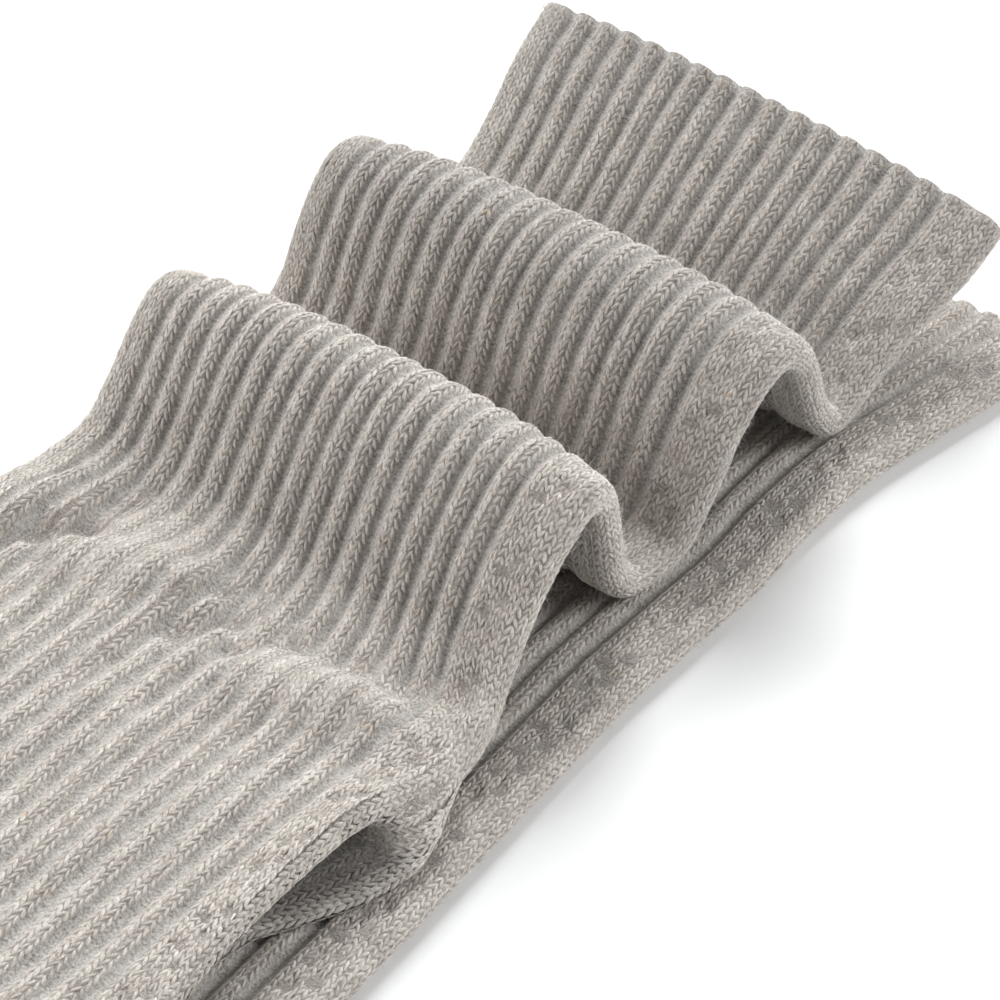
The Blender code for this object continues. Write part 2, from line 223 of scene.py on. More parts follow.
class FlatTube:  # a flattened tube along a path of rows, all in mm
    def __init__(self, rows, pleat=None, foot=None, creases=(), flats=(), ribUnderFrom=None, onFloor=False):
        self.rows = np.array(rows, float)
        self.pleat = pleat
        self.pleatTable = np.array(pleat["rows"]).T if pleat else None
        self.foot = foot
        self.creases = creases
        self.flats = flats
        self.ribUnderFrom = ribUnderFrom  # the underside's ribs start here along the sock
        self.onFloor = onFloor  # pressed flat underneath
        self.wale, self.course = knit["wale"], knit["course"]
        self.known = {}
        self.last = len(rows) - 1
        self.places = np.linspace(0, self.last, 60 * self.last + 1)
        table = self.row(self.places)
        middle = (table[:, 0:2] + table[:, 2:4]) / 2
        self.arc = np.concatenate([[0], np.cumsum(np.hypot(*np.diff(middle, axis=0).T))])
        self.length = self.arc[-1]
        self.middleAlong = middle[:, 0]
        faces = [self.lengthsAt(code, probes["rise"]) for code in (2.5, 6.5)]
        self.surfaceArc = (faces[0] + faces[1]) / 2

    def row(self, place):  # on a smooth curve through the table's rows
        place = np.asarray(place, float)
        step = np.clip(place.astype(int), 0, self.last - 1)
        share = (place - step)[..., None]
        start, end = self.rows[step], self.rows[step + 1]
        before, after = self.rows[np.maximum(step - 1, 0)], self.rows[np.minimum(step + 2, self.last)]
        startPull = np.where((step > 0)[..., None], (end - before) / 2, end - start)
        endPull = np.where((step < self.last - 1)[..., None], (after - start) / 2, end - start)
        square, cube = share**2, share**3
        ends = (2 * cube - 3 * square + 1) * start + (3 * square - 2 * cube) * end
        return ends + (cube - 2 * square + share) * startPull + (cube - square) * endPull

    def lengthsAt(self, code, rise):  # mm of cloth to each place, along one line of the surface
        if (code, rise) not in self.known:
            steps = np.diff(self.point(self.places, code, rise), axis=0)
            self.known[code, rise] = np.concatenate([[0], np.cumsum(np.linalg.norm(steps, axis=1))])
        return self.known[code, rise]

    def placeAt(self, distance):  # from mm along the cloth's middle to a place on the path
        return np.interp(distance, self.arc, self.places)

    def distanceAt(self, along):  # the first mm along the cloth where its middle is this far along
        return self.arc[np.argmax(self.middleAlong >= along)]

    def alongAt(self, place):
        return np.interp(place, self.places, self.middleAlong)

    def creaseHeight(self, across, along):
        height = np.zeros_like(across)
        for x0, y0, x1, y1, reach, rise in self.creases:
            length = math.hypot(x1 - x0, y1 - y0)
            ux, uy = (x1 - x0) / length, (y1 - y0) / length
            run = (across - x0) * ux + (along - y0) * uy
            side = (across - x0) * uy - (along - y0) * ux
            past = np.maximum(np.maximum(-run, run - length), 0)
            height += rise * np.exp(-(side**2 + past**2) / reach**2)
        return height

    # painted light: the yarn drawn brighter towards the foot and darker towards the cuff
    def paintedLightAt(self, place):
        return np.interp(self.alongAt(place), *self.foot["paintedLight"]) if self.foot else 1.0

    def paintedShadeAt(self, place, code):  # painted shade: the yarn drawn darker deep in the pleat
        if not self.pleat:
            return 1.0
        half = self.row(place)[..., 4]
        across, up, _, _ = ringPoint(code, half - knit["base"])
        level = up / knit["base"]
        low, rising = self.pleat["shadeLow"]
        high, falling = self.pleat["shadeHigh"]
        inside = np.clip((level - low) / rising, 0, 1) * np.clip((high - level) / falling, 0, 1)
        groove = np.interp(self.alongAt(place), self.pleatTable[0], self.pleatTable[3])
        deep = np.clip(-groove / self.pleat["shadeDepth"], 0, 1)
        return 1 - self.pleat["shade"] * self.pleatNear(across, half) * inside * deep

    def flatness(self, place, code):  # 1 where the ribs are pulled quite flat
        flat = np.zeros(np.broadcast(place, code).shape)
        if self.foot:
            flat = flat + np.interp(self.alongAt(place), *self.foot["spread"])
        if self.flats:
            spot = self.surface(*np.broadcast_arrays(place, code, 0.0))
            for across, along, reach in self.flats:
                off = (spot[..., 0] - across) ** 2 + (spot[..., 1] - along) ** 2
                flat = np.maximum(flat, flatPull * np.exp(-off / reach**2))
        return np.clip(flat, 0, 1)

    def ground(self, place, code):  # how far the cloth under the stitches stands out
        under = 1.0 if self.ribUnderFrom is None else self.alongAt(place) > self.ribUnderFrom
        rise = groundRise(code, under)
        zone = np.floor(code).astype(int) % 8
        level = knit["flatRise"] - rise
        rise = rise + np.where(zone == 2, level * self.flatness(place, code), 0.0)
        usual, swing, turn = dents["size"]
        across = (code - np.floor(code)) * knit["rightBand"]
        length = np.interp(place, self.places, self.surfaceArc) / dents["spacing"]
        for line, late in dents["lines"]:
            step = (length + late + 0.5) % 1 - 0.5
            size = usual + swing * np.sin(turn * np.floor(length + late + 0.5))
            off = (step * dents["spacing"]) ** 2 + (across - line) ** 2
            dent = dents["depth"] * size * np.exp(-off / dents["reach"] ** 2)
            rise = rise + np.where(zone == 1, dent, 0.0)
        if self.onFloor:
            rise = rise * (1 + np.minimum(ringPoint(code, knit["refHalf"])[3], 0))
        return rise

    def point(self, place, code, rise):  # world places in mm of points on the tube
        place, code, rise = np.broadcast_arrays(place, code, rise)
        spots = self.surface(place, code, rise)
        if not self.pleat:
            return spots
        along = self.alongAt(place)
        start, stop = self.pleat["turned"]
        # from the ribs underneath, round the right fold, to those on top
        beside = np.abs((code + 1.5) % 8 - 2) < 1.9
        turned = (along > start) & (along < stop) & beside
        place, code, rise = place[turned], code[turned], rise[turned]
        step, turn = probes["normal"], probes["ring"]
        ahead, behind = np.minimum(place + step, self.last), np.maximum(place - step, 0)
        run = self.surface(ahead, code, 0 * rise) - self.surface(behind, code, 0 * rise)
        lap = self.surface(place, code + turn, 0 * rise) - self.surface(place, code - turn, 0 * rise)
        spots[turned] = self.surface(place, code, 0 * rise) + rise[:, None] * unit(np.cross(run, lap))
        return spots

    def spread(self, place, code):  # points on the cloth under the stitches
        return self.point(place, code, self.ground(place, code))

    def surface(self, place, code, rise):  # world places with the rise square to the flat tube
        here = self.row(place)
        leftAlong, leftHeight, rightAlong, rightHeight, half, middle, bow, puff = np.moveaxis(here, -1, 0)
        across, up, outAcross, outUp = ringPoint(code, half - knit["base"])
        across, up = across + rise * outAcross, up + rise * outUp
        step = probes["slope"]
        change = self.row(np.minimum(place + step, self.last)) - self.row(np.maximum(place - step, 0))
        share = (across / half + 1) / 2
        along = leftAlong + (rightAlong - leftAlong) * share
        height = leftHeight + (rightHeight - leftHeight) * share
        run = change[..., 0] + (change[..., 2] - change[..., 0]) * share
        climb = change[..., 1] + (change[..., 3] - change[..., 1]) * share
        length = np.hypot(run, climb)
        inward = 1 - np.clip(np.abs(across) / half, 0, 1) ** knit["arch"]
        lifted = up + inward * (bow + puff * (up > 0))
        if self.pleat:
            out, apart = self.pleatShift(along, across, up, half)
            across, lifted = across + out, lifted + apart
        if self.creases:
            lifted = lifted + np.clip(up / creaseFade, 0, 1) * self.creaseHeight(middle + across, along)
        spot = [middle + across, along - lifted * climb / length, height + lifted * run / length]
        return np.stack(spot, -1)

    def pleatNear(self, across, half):  # 1 at the right fold, 0 beyond the pleat's reach
        return np.clip((across - half + self.pleat["reach"]) / self.pleat["reach"], 0, 1)

    def pleatShift(self, along, across, up, half):  # how far the pleat moves the cloth out and up
        table = self.pleatTable
        rim, lip, groove, lift, drop = (np.interp(along, table[0], column) for column in table[1:])
        near = self.pleatNear(across, half) ** self.pleat["fade"]
        level = np.clip(up / knit["base"], -1, 1)
        above = level - self.pleat["level"]
        roof = np.sin(0.5 * math.pi * np.clip(above / self.pleat["roof"], 0, 1))
        floor = np.sin(0.5 * math.pi * np.clip(-above / self.pleat["floor"], 0, 1))
        out = groove + (rim - groove) * roof + (lip - groove) * floor
        return near * out, near * np.where(level > 0, lift, drop) * level


def ringPoint(code, flat):  # codes 0 to 8: right fold, right band, ribs, left band, and back underneath
    zone = np.floor(code).astype(int) % 8
    x = code - np.floor(code)
    ribRight, ribLeft = flat - knit["rightBand"], knit["leftBand"] - flat
    turn = math.pi * np.where(zone == 0, x - 0.5, 0.5 - x)
    side = np.where(zone == 0, 1.0, -1.0)
    inFold = (zone == 0) | (zone == 4)
    corners = [flat, ribRight, ribLeft, -flat]
    starts = [flat, *corners, *corners[::-1]]  # across, where each zone starts
    start, end = np.choose(zone, starts[:-1]), np.choose(zone, starts[1:])
    flatAcross = start + (end - start) * x
    across = np.where(inFold, side * (flat + knit["base"] * np.cos(turn)), flatAcross)
    face = np.where(zone < 4, 1.0, -1.0)
    outAcross = np.where(inFold, side * np.cos(turn), 0.0)
    outUp = np.where(inFold, np.sin(turn), face)
    return across, knit["base"] * outUp, outAcross, outUp


foldLength = math.pi * (knit["base"] + knit["ribRise"])
ribsLength = 2 * (knit["refHalf"] - knit["base"]) - knit["rightBand"] - knit["leftBand"]
pitch = ribsLength / knit["ribs"]
zoneLengths = [foldLength, knit["rightBand"], ribsLength, knit["leftBand"]] * 2
zoneLengths[5], zoneLengths[7] = knit["leftBand"], knit["rightBand"]
zoneEnds = np.concatenate([[0], np.cumsum(zoneLengths)])
ringLength = zoneEnds[-1]
ribStart = zoneEnds[2]  # mm round the ring where the top's ribs start


def codeAt(around):  # from mm round the ring to its code
    laps = np.floor(around / ringLength)
    return np.interp(around - laps * ringLength, zoneEnds, np.arange(9)) + 8 * laps


def groundRise(code, ribbedUnder):  # the ribs' profile; plain cloth lies level with their crowns
    zone = np.floor(code).astype(int) % 8
    phase = (code - np.floor(code)) * knit["ribs"]
    off = np.abs(phase - np.round(phase))
    crown = 1 - (1 - knit["shoulder"]) * (np.minimum(off, knit["crown"]) / knit["crown"]) ** 2
    down = np.clip((off - knit["crown"]) / knit["side"], 0, 1)
    ridge = crown * (0.5 + 0.5 * np.cos(math.pi * down))
    ribbed = knit["valley"] + (knit["ribRise"] - knit["valley"]) * ridge
    rise = np.where((zone == 2) | (zone == 6), ribbed, knit["ribRise"])
    return np.where(zone > 4, rise * ribbedUnder, rise)


def newPiece(name, points, faces, looks, uv=None, tone=None):  # points in mm in the tables' frame
    mesh = bpy.data.meshes.new(name)
    mesh.from_pydata(((points - tableOrigin) * mm).tolist(), [], faces)
    if uv:
        layer = mesh.uv_layers.new(name=uv[0])
        corners = np.empty(len(mesh.loops), np.int32)
        mesh.loops.foreach_get("vertex_index", corners)
        layer.uv.foreach_set("vector", uv[1][corners].astype(np.float32).ravel())
    if tone is not None:
        attribute = mesh.attributes.new("tone", "FLOAT_COLOR", "POINT")
        attribute.data.foreach_set("color", tone.astype(np.float32).ravel())
    mesh.shade_smooth()
    for look in looks:
        mesh.materials.append(look)
    piece = bpy.data.objects.new(name, mesh)
    bpy.context.scene.collection.objects.link(piece)
    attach(piece, "root")
    return piece


class Term:  # a socket that Python's operators add Math nodes to
    def __init__(self, look, socket):
        self.look, self.socket = look, socket

    def math(self, operation, other=0.0, swapped=False):
        first, second = (other, self) if swapped else (self, other)
        return self.look.add("ShaderNodeMath", {"operation": operation}, {0: first, 1: second})

    def __add__(self, other):
        return self.math("ADD", other)

    def __sub__(self, other):
        return self.math("SUBTRACT", other)

    def __rsub__(self, other):
        return self.math("SUBTRACT", other, True)

    def __mul__(self, other):
        return self.math("MULTIPLY", other)


class Look:  # one material and its nodes
    def __init__(self, name, roughness=0.9, sheen=0.25):
        self.material = bpy.data.materials.new(name)
        self.material.use_nodes = True
        self.tree = self.material.node_tree
        self.shader = self.tree.nodes["Principled BSDF"]
        self.shader.inputs["Roughness"].default_value = roughness
        self.shader.inputs["Sheen Weight"].default_value = sheen
        self.shader.inputs["Sheen Roughness"].default_value = 0.6
        self.shader.inputs["Specular IOR Level"].default_value = 0.2

    def add(self, kind, settings=None, inputs=None, output=0):
        node = self.tree.nodes.new(kind)
        for key, value in (settings or {}).items():
            if key != "stops":
                setattr(node, key, value)
                continue
            ramp = node.color_ramp
            while len(ramp.elements) < len(value):
                ramp.elements.new(0.5)
            for element, (spot, colour) in zip(ramp.elements, value):
                element.position = spot
                element.color = (*colour, 1.0)
        for key, value in (inputs or {}).items():
            self.feed(node.inputs[key], value)
        return Term(self, node.outputs[output])

    def feed(self, socket, value):
        if isinstance(value, Term):
            self.tree.links.new(value.socket, socket)
        else:
            socket.default_value = value

    def set(self, **sockets):
        for name, value in sockets.items():
            self.feed(self.shader.inputs[name.replace("_", " ")], value)

    def ramp(self, value, *stops):
        return self.add("ShaderNodeValToRGB", {"stops": stops}, {0: value})

    def mix(self, share, first, second, blend="MIX"):
        settings = {"data_type": "RGBA", "blend_type": blend}
        return self.add("ShaderNodeMix", settings, {0: share, 6: first, 7: second}, 2)

    def noise(self, vector, scale, detail=2.0, roughness=0.5):
        settings = {"Vector": vector, "Scale": scale, "Detail": detail, "Roughness": roughness}
        return self.add("ShaderNodeTexNoise", {}, settings)

    def places(self):
        return self.add("ShaderNodeTexCoord", output="Object")

    def split(self, kind, value):  # a colour's or a vector's three parts
        node = self.add(kind, {}, {0: value}).socket.node
        return [Term(self, socket) for socket in node.outputs[:3]]

    def stretched(self, vector, scale):
        return self.add("ShaderNodeMapping", {}, {"Vector": vector, "Scale": scale})

    def bump(self, height, strength, distance):
        return self.add("ShaderNodeBump", {}, {"Height": height, "Strength": strength, "Distance": distance})


yarn = {
    "pale": (0.78, 0.745, 0.70),
    "middle": (0.53, 0.48, 0.435),
    "dark": (0.22, 0.18, 0.15),
    "fleck": (0.62, 0.45, 0.24),
}


def heather(look, fibres, places):  # the mixed fibres' colour, from fine streaks and wider drifts
    streak = look.noise(look.stretched(fibres, (1.1, 5.0, 1.0)), 1.0, 3.0, 0.65)
    drift = look.noise(places, 240.0, 2.0)
    speck = look.noise(places, 4200.0, 2.0, 0.6)
    blend = streak * 0.5 + drift * 0.15 + speck * 0.35
    colour = look.ramp(blend, (0.32, yarn["dark"]), (0.45, yarn["middle"]), (0.58, yarn["pale"]))
    fleck = look.ramp(look.noise(places, 420.0, 1.0), (0.76, (0, 0, 0)), (0.80, (1, 1, 1)))
    return look.mix(fleck * 0.5, colour, (*yarn["fleck"], 1.0))


def stitchLook():
    look = Look("stitch_yarn")
    fibres = look.add("ShaderNodeUVMap", {"uv_map": "fibre"})
    tone = look.add("ShaderNodeAttribute", {"attribute_name": "tone"})
    bright, height, edgeShade = look.split("ShaderNodeSeparateColor", tone)
    colour = heather(look, fibres, look.places())
    # painted shade: each leg drawn darker towards its low edges, times its brightness with painted light and
    # pleat shade
    level = (1.0 - edgeShade * (1.0 - height)) * bright * 2.0
    shade = look.add("ShaderNodeCombineColor", {}, {0: level, 1: level * 0.985, 2: level * 0.965})
    colour = look.mix(1.0, colour, shade, "MULTIPLY")
    twist = look.noise(look.stretched(fibres, (1.4, 14.0, 1.0)), 1.0, 3.0, 0.65)
    look.set(Base_Color=colour, Normal=look.bump(twist, 0.6, 0.00015))
    return look.material


def groundLook():  # painted shade: dark between the stitches; pale and felted in the valleys
    look = Look("ground_yarn", 0.95)
    places = look.places()
    tone = look.add("ShaderNodeAttribute", {"attribute_name": "tone"})
    felted, pale, _ = look.split("ShaderNodeSeparateColor", tone)
    # painted light towards the foot and painted shade deep in the pleat
    pale = pale * 2.0
    fuzz = look.noise(places, 2300.0, 3.0, 0.7)
    wide = look.noise(places, 260.0, 2.0)
    blend = fuzz * 0.75 + wide * 0.25
    felt = look.ramp(
        blend,
        (0.34, (0.20, 0.182, 0.165)),
        (0.48, (0.42, 0.395, 0.37)),
        (0.64, (0.66, 0.632, 0.602)),
    )
    # painted shade: the ground drawn dark under and between the stitches
    deep = look.ramp(blend, (0.36, (0.20, 0.17, 0.15)), (0.62, (0.48, 0.44, 0.40)))
    shade = look.add("ShaderNodeCombineColor", {}, {0: pale, 1: pale * 0.99, 2: pale * 0.975})
    colour = look.mix(1.0, look.mix(felted, deep, felt), shade, "MULTIPLY")
    look.set(Base_Color=colour, Normal=look.bump(fuzz, 1.0, 0.0003))
    return look.material


def plainKnitLook():  # stitches as relief, where no photo view comes close
    look = Look("plain_knit")
    spot = look.add("ShaderNodeUVMap", {"uv_map": "wales"})
    wale, course, _ = look.split("ShaderNodeSeparateXYZ", spot)
    places = look.places()
    wander = look.noise(places, 90.0, 1.0) * 0.5
    off = (wale.math("FRACT") - 0.5).math("ABSOLUTE") * 2.0
    step = (course + off * 0.62 + wander).math("FRACT")
    along = (step * math.pi).math("SINE").math("MAXIMUM", 0.0).math("POWER", 0.6)
    across = (off * math.pi).math("SINE").math("MAXIMUM", 0.0).math("POWER", 0.5)
    leg = along * across
    fibres = look.noise(places, 1400.0, 2.0, 0.6)
    # painted shade: darker in the gaps where the legs fall away, mixed with the fibres' own tone
    colour = look.ramp(
        leg * 0.45 + fibres * 0.55,
        (0.25, (0.17, 0.15, 0.135)),
        (0.5, yarn["middle"]),
        (0.72, yarn["pale"]),
    )
    look.set(Base_Color=colour, Normal=look.bump(leg + fibres * 0.3, 0.9, 0.00035))
    return look.material


def fuzzLook():
    look = Look("loose_fibre", 0.7, 0.4)
    tint = look.noise(look.places(), 300.0, 0.0)
    look.set(Base_Color=look.ramp(tint, (0.3, (0.55, 0.50, 0.45)), (0.6, (0.88, 0.86, 0.83))))
    return look.material


looks = {"stitch": stitchLook(), "ground": groundLook(), "plain": plainKnitLook(), "fuzz": fuzzLook()}
print("stage: yarn looks made")


# the lens of yarn that one side of a stitch shows: along and across from -1 to 1, and its height
legAcross = np.array([-1.0, -0.45, 0.45, 1.0])
legHeight = np.array([-0.3, 0.9, 0.9, -0.3])
legRings = [(-0.45, 0.98, 0.9), (0.45, 0.92, 1.0)]  # along, width, height
legPoints = [(-1.0, 0.0, -0.5)]
legPoints += [(a, b * w, h * t) for a, w, t in legRings for b, h in zip(legAcross, legHeight)]
legPoints += [(1.0, 0.0, 0.0)]
legPoints = np.array(legPoints)
legFaces = [(0, 2, 1), (0, 3, 2), (0, 4, 3)]
legFaces += [(1 + n, 2 + n, 6 + n, 5 + n) for n in range(3)]
legFaces += [(5, 6, 9), (6, 7, 9), (7, 8, 9)]
# how far a leg is from its column's middle, its slant, half length, half width and height in mm,
# and how much painted shade darkens its edges
kinds = {
    "left": (0.37, 0.32, 1.00, 0.36, 0.09, 0.14),
    "right": (0.38, 0.35, 1.00, 0.33, 0.15, 0.44),
    "plain": (0.33, 0.28, 0.96, 0.31, 0.12, 0.28),
}
legs = {
    "vary": 0.10,  # share that length and width vary by
    "waves": ((0.16, 17.0, 1.7), (0.08, 6.1, 3.1)),  # a column's wander: mm, mm along, radians a mm round
    "plainWander": 0.3,  # share of it in plain cloth
    "jitter": 0.04,  # mm across
    "roll": 0.07,
    "slip": 0.05,  # mm along
    "lift": 0.03,  # mm out
    "tip": 0.04,  # mm that a leg's far end stands higher
    "drawn": (0.24, 2.4),  # least and most that 0.4 mm of cloth across is drawn to
    "glow": (0.89, 0.22),  # least brightness, and its range
    "pair": (0.99, 0.04),  # brightness of a pair, and painted light: how far one leg is drawn brighter and the other darker
    "plainGlow": 1.06,
    "fibreSpan": 40,  # range of the fibres' starts
    "flatFrom": 0.45,  # stitches between ribs show where these are at least so flat
    "bunched": 0.62,  # where cloth is narrower than this share, every other plain column is left out
    "mostColumns": 5,  # that a plain one becomes where the cloth is drawn out
}


def stitchLegs(tube, stitches, kind, chance):  # one pair of legs for each
    side = np.repeat([-1.0, 1.0], stitches.shape[1])
    around, along, middle, rate = np.tile(stitches, 2)
    count = len(around)
    plain = kind == "plain"
    spread, slant, halfLong, halfWide, tall, edgeShade = kinds[kind]
    halfLong = halfLong * (1 + legs["vary"] * chance.standard_normal(count))
    halfWide = halfWide * (1 + legs["vary"] * chance.standard_normal(count))
    wave = sum(size * np.sin(along / run + around * turn) for size, run, turn in legs["waves"])
    shift = wave * (legs["plainWander"] if plain else 1.0) + legs["jitter"] * chance.standard_normal(count)
    probe = 0.2
    ends = [tube.point(middle, codeAt(around + off), probes["rise"]) for off in (-probe, probe)]
    shrink = 2 * probe / np.clip(np.linalg.norm(ends[1] - ends[0], axis=1), *legs["drawn"])
    roll = legs["roll"] * chance.standard_normal(count)
    a, b, h = legPoints.T
    lateral = side[:, None] * (spread - slant * a) + halfWide[:, None] * b
    lateral = lateral + shift[:, None] + roll[:, None] * a
    forward = halfLong[:, None] * a + legs["slip"] * chance.standard_normal(count)[:, None]
    code = codeAt(around[:, None] + lateral * shrink[:, None])
    rise = tall * h + legs["lift"] * chance.standard_normal(count)[:, None] + legs["tip"] * a
    place = np.clip(middle[:, None] + forward * rate[:, None], 0, tube.last)
    points = tube.point(place, code, tube.ground(place, code) + rise)
    if plain and tube.pleat:  # near the pleat a stitch keeps its shape
        where = tube.alongAt(middle)
        start, stop = tube.pleat["stiff"]
        near = (where > start) & (where < stop)
        points[near] = stiffLegs(tube, around[near], middle[near], lateral[near], forward[near], rise[near])
    (least, glow), (pair, apart) = legs["glow"], legs["pair"]
    # painted light: one leg of each pair drawn brighter than the other; the rest varies at random
    bright = (least + glow * chance.random(count)) * (pair - apart * side)
    bright = bright * (legs["plainGlow"] if plain else 1.0)
    # painted light towards the foot and painted shade deep in the pleat
    bright = bright * tube.paintedLightAt(middle) * tube.paintedShadeAt(middle, codeAt(around))
    # tone: brightness with its painted light and shade, the leg's height, and how much painted shade darkens
    # its edges
    levels = [bright[:, None] / 2, np.clip(h, 0, 1), edgeShade, 1.0]
    tone = np.stack([np.broadcast_to(level, code.shape) for level in levels], -1)
    offsets = chance.random((count, 2)) * legs["fibreSpan"]
    fibreAlong = a[None] * halfLong[:, None] + offsets[:, :1]
    fibreAcross = b[None] * halfWide[:, None] + offsets[:, 1:]
    fibre = np.stack([fibreAlong, fibreAcross], -1)
    return points.reshape(-1, 3), tone.reshape(-1, 4), fibre.reshape(-1, 2)


def stiffLegs(tube, around, middle, lateral, forward, rise):
    code = codeAt(around)
    step, turn = probes["stitch"], probes["round"]
    run = unit(tube.spread(middle + step, code) - tube.spread(middle - step, code))
    lap = tube.spread(middle, codeAt(around + turn)) - tube.spread(middle, codeAt(around - turn))
    out = unit(np.cross(run, lap))
    steps = [(lateral, np.cross(out, run)), (forward, run), (rise, out)]
    return tube.spread(middle, code)[:, None] + sum(size[..., None] * way[:, None] for size, way in steps)


# for each stitch: mm round the ring, mm along the column, its place on the path, and places for each mm
def column(tube, around, start, stop):
    lengths = tube.lengthsAt(float(codeAt(around)), knit["ribRise"])
    first, last = np.interp([tube.placeAt(start), tube.placeAt(stop)], tube.places, lengths)
    rows = np.arange(math.ceil(first / tube.course), math.ceil(last / tube.course)) * tube.course
    reach = 0.7
    before, place, after = (np.interp(rows + off, lengths, tube.places) for off in (-reach, 0.0, reach))
    return np.stack([np.full(len(rows), around), rows, place, (after - before) / (2 * reach)])


def ribColumns(tube, ribs, start, stop, chance):
    groups = []
    for kind, off in (("left", knit["ribWale"]), ("right", -knit["ribWale"])):
        stitches = np.concatenate([column(tube, rib + off, start, stop) for rib in ribs], axis=1)
        groups.append(stitchLegs(tube, stitches, kind, chance))
    return groups


def flatColumns(tube, spaces, start, stop, chance):  # stitches between ribs, where these are pulled flat
    stitches = np.concatenate([column(tube, around, start, stop) for around in spaces], axis=1)
    flat = tube.flatness(stitches[2], codeAt(stitches[0])) > legs["flatFrom"]
    return [stitchLegs(tube, stitches[:, flat], "left", chance)] if flat.any() else []


# more of them where the cloth is drawn out, fewer where it is bunched
def plainColumns(tube, first, last, start, stop, chance):
    probe = 0.4
    columns = []
    for number in range(round(abs(last - first) / tube.wale)):
        stitches = column(tube, first + math.copysign((number + 0.5) * tube.wale, last - first), start, stop)
        codes = [codeAt(stitches[0] + off) for off in (-probe, probe)]
        right, left = (tube.point(stitches[2], code, knit["ribRise"]) for code in codes)
        drawn = np.linalg.norm(left - right, axis=1) / (2 * probe)
        wanted = np.clip(np.round(drawn), 1, legs["mostColumns"])
        wanted[(drawn < legs["bunched"]) & (number % 2 == 1)] = 0
        for count in np.unique(wanted[wanted > 0]):
            for n in range(int(count)):
                more = stitches[:, wanted == count].copy()
                more[0] += ((n + 0.5) / count - 0.5) * tube.wale
                columns.append(more)
    return [stitchLegs(tube, np.concatenate(columns, axis=1), "plain", chance)]


def stitchPiece(name, groups):
    points, tone, fibre = (np.concatenate(part) for part in zip(*groups))
    size = len(legPoints)
    count = len(points) // size
    faces = [tuple(i * size + n for n in face) for i in range(count) for face in legFaces]
    return newPiece(name, points, faces, [looks["stitch"]], ("fibre", fibre), tone)


cloth = {
    "columns": [7, 6, 0, 2, 7, 2, 4 * knit["ribs"], 3],  # of points in each zone, but on the top's ribs
    "sides": [0.12, 0.30, 0.36, 0.43],  # those stand so far from a rib's middle, as shares of a space
    "innerEvery": 4,  # the inside has every fourth ring of points
    "valley": (0.28, 0.03),  # pale felt starts here, and is full so much further on, as such shares; nearer a rib the ground has painted shade
    "plainFelt": 0.3,  # share of pale felt under the plain stitches; the rest is painted shade
}


# the cloth under the stitches, outside and inside; from the ring code coveredTo it is plain knit
def groundPiece(name, tube, ringStep, coveredTo):
    sides = np.array(cloth["sides"])
    phases = (np.arange(knit["ribs"])[:, None] + np.concatenate([sides, 1 - sides[::-1]])[None]).ravel()
    codes = [zone + np.arange(n) / n for zone, n in enumerate(cloth["columns"])]
    codes = np.sort(np.concatenate(codes + [[2.0], 2 + phases / knit["ribs"]]))
    rings = int(tube.surfaceArc[-1] / ringStep)
    distance = np.linspace(0, tube.surfaceArc[-1], rings + 1)
    place = np.interp(distance, tube.surfaceArc, tube.places)[:, None]
    outer = tube.point(place, codes[None], tube.ground(place, codes[None]))
    innerRows = np.unique(np.concatenate([np.arange(0, rings + 1, cloth["innerEvery"]), [rings]]))
    deep = knit["thickness"] - 0 * place[innerRows]
    if tube.pleat:  # thinner where the pleat folds it
        along = tube.alongAt(place[innerRows])
        deep = deep - tube.pleat["thin"] * np.interp(along, tube.pleatTable[0], tube.pleatTable[5])
    inner = tube.point(place[innerRows], codes[None], -deep + 0 * codes[None])
    columns = len(codes)
    outerCount = outer.shape[0] * columns
    points = np.concatenate([outer.reshape(-1, 3), inner.reshape(-1, 3)])

    ring = np.arange(columns)
    after = (ring + 1) % columns

    def quads(first, rows, turned):
        rowStart = first + np.arange(rows - 1)[:, None] * columns
        here, beside = rowStart + ring[None], rowStart + after[None]
        corners = [here, here + columns, beside + columns, beside]
        return np.stack(corners[::-1] if turned else corners, -1).reshape(-1, 4)

    outerFaces = quads(0, outer.shape[0], False)
    innerFaces = quads(outerCount, inner.shape[0], True)
    lastOuter, lastInner = outerCount - columns, len(points) - columns
    startRim = np.stack([ring, after, outerCount + after, outerCount + ring], -1)
    endRim = np.stack([lastOuter + after, lastOuter + ring, lastInner + ring, lastInner + after], -1)
    faces = np.concatenate([outerFaces, innerFaces, startRim, endRim])
    around = np.interp(codes, np.arange(9), zoneEnds)
    wales = np.stack(np.broadcast_arrays(around[None] / knit["wale"], distance[:, None] / knit["course"]), -1)
    uv = np.concatenate([wales.reshape(-1, 2), wales[innerRows].reshape(-1, 2)])
    phase = (codes - np.floor(codes)) * knit["ribs"]
    valleyFrom, valleySpan = cloth["valley"]
    felted = np.clip((np.abs(phase - np.round(phase)) - valleyFrom) / valleySpan, 0, 1)
    felted = np.where(np.floor(codes) % 4 == 2, felted, cloth["plainFelt"])
    # painted light towards the foot and painted shade deep in the pleat
    pale = tube.paintedLightAt(place) * tube.paintedShadeAt(place, codes[None]) + 0 * place
    pale = np.concatenate([pale, pale[innerRows]])
    levels = [felted[None], pale / 2, 0.0, 1.0]
    tone = np.stack([np.broadcast_to(level, (len(pale), columns)) for level in levels], -1).reshape(-1, 4)
    piece = newPiece(name, points, faces.tolist(), [looks["plain"], looks["ground"]], ("wales", uv), tone)
    slots = np.zeros(len(faces), np.int32)
    slots[: len(outerFaces)] = np.tile(codes < coveredTo, outer.shape[0] - 1)
    piece.data.polygons.foreach_set("material_index", slots)
    return piece


